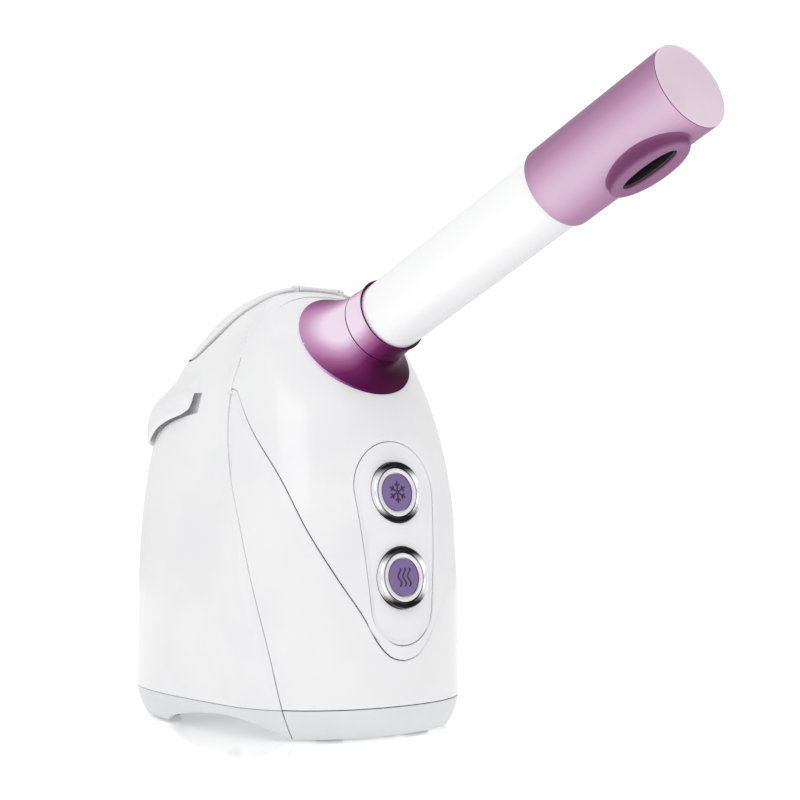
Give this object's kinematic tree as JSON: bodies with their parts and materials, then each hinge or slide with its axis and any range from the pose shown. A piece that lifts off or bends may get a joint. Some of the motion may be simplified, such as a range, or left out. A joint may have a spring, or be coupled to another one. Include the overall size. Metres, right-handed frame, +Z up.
{
  "type": "facial steamer",
  "caption": "Table-top facial steamer: rounded body with push-buttons, hinged filling lid and rear grip, and a telescopic arm with a turning slotted nozzle.",
  "frame": {"origin": "middle of the bounding box's bottom face, on the surface the four feet stand on", "axes": "+Z up, -Y the way the arm and the nozzle point, +X to the right-hand side seen from the front"},
  "size_m": [0.116, 0.3325, 0.2657],
  "materials": {
    "white_gloss": "glossy white plastic",
    "panel_grey": "pale grey plastic, soft gloss",
    "trim_grey": "light grey plastic, satin",
    "pearl_purple": "purple pearl lacquer on plastic",
    "pearl_lilac": "lilac pearl lacquer on plastic",
    "cap_lilac": "pale lilac plastic, satin",
    "chrome": "polished chrome",
    "satin_silver": "silver lacquer on plastic, satin",
    "button_purple": "violet plastic, satin",
    "black_plastic": "black plastic, matt",
    "rubber": "dark rubber, matt",
    "silicone": "off-white silicone, matt",
    "clear_tank": "pale blue plastic, glossy",
    "aluminium": "plain aluminium",
    "steel": "plain steel",
    "brass": "plain brass",
    "board_green": "green circuit board"
  },
  "bodies": {
    "stand": {"arm_guide": "black_plastic", "base_plate": "trim_grey", "base_screw_1": "steel", "base_screw_2": "steel", "base_screw_3": "steel", "base_screw_4": "steel", "boiler_cover": "white_gloss", "boiler_gasket": "silicone", "boiler_pot": "aluminium", "boiler_stand": "white_gloss", "button_board": "board_green", "collar_skirt": "pearl_purple", "control_panel": "panel_grey", "cool_bezel": "chrome", "cool_switch": "black_plastic", "fan_housing": "black_plastic", "feed_hose": "silicone", "fill_tray": "white_gloss", "foot_front_left": "rubber", "foot_front_right": "rubber", "foot_rear_left": "rubber", "foot_rear_right": "rubber", "front_base_trim": "trim_grey", "front_fascia": "white_gloss", "front_housing": "white_gloss", "grip_liner": "white_gloss", "heater_plate": "aluminium", "hot_bezel": "chrome", "hot_switch": "black_plastic", "inlet_pin_left": "steel", "inlet_pin_right": "steel", "ioniser_module": "brass", "lid_hinge_pin": "steel", "main_board": "board_green", "mist_chamber": "white_gloss", "mist_hose": "silicone", "mixing_elbow": "white_gloss", "piezo_disc": "brass", "power_inlet": "black_plastic", "power_module": "black_plastic", "rear_base_trim": "trim_grey", "rear_housing": "white_gloss", "steam_hose": "silicone", "steam_pipe": "aluminium", "thermal_cutout": "black_plastic", "water_tank": "clear_tank"},
    "collar": {"collar_ring": "pearl_purple"},
    "arm": {"arm_tube": "white_gloss", "nozzle_seal": "rubber"},
    "nozzle": {"nozzle_head": "pearl_lilac", "nozzle_end_cap": "cap_lilac", "mist_outlet": "pearl_lilac", "outlet_liner": "black_plastic"},
    "cool_button": {"cool_button": "satin_silver", "cool_button_inset": "button_purple"},
    "hot_button": {"hot_button": "satin_silver", "hot_button_inset": "button_purple"},
    "lid": {"tank_lid": "white_gloss"},
    "fan": {"fan_rotor": "black_plastic"}
  },
  "joints": [
    {"name": "arm_turn", "type": "hinge", "parent": "stand", "child": "collar", "pos_m": [0, 0.0109, 0.182], "axis": [0, -0.9278, 0.373], "range_deg": [-90, 90]},
    {"name": "arm_slide", "type": "slide", "parent": "collar", "child": "arm", "axis": [0, 0.9278, -0.373], "range_m": [0, 0.045]},
    {"name": "nozzle_turn", "type": "hinge", "parent": "arm", "child": "nozzle", "pos_m": [0, 0.0109, 0.182], "axis": [0, -0.9278, 0.373], "continuous": true},
    {"name": "cool_press", "type": "slide", "parent": "stand", "child": "cool_button", "axis": [0, 0.9922, -0.125], "range_m": [0, 0.0012], "stiffness_N_per_m": 600, "springref_m": -0.0012},
    {"name": "hot_press", "type": "slide", "parent": "stand", "child": "hot_button", "axis": [0, 0.9922, -0.125], "range_m": [0, 0.0012], "stiffness_N_per_m": 600, "springref_m": -0.0012},
    {"name": "lid_hinge", "type": "hinge", "parent": "stand", "child": "lid", "pos_m": [0, 0.0644, 0.1986], "axis": [1, 0, 0], "range_deg": [0, 75]},
    {"name": "fan_spin", "type": "hinge", "parent": "stand", "child": "fan", "pos_m": [-0.036, 0.051, 0.047], "axis": [0, 1, 0], "continuous": true}
  ]
}
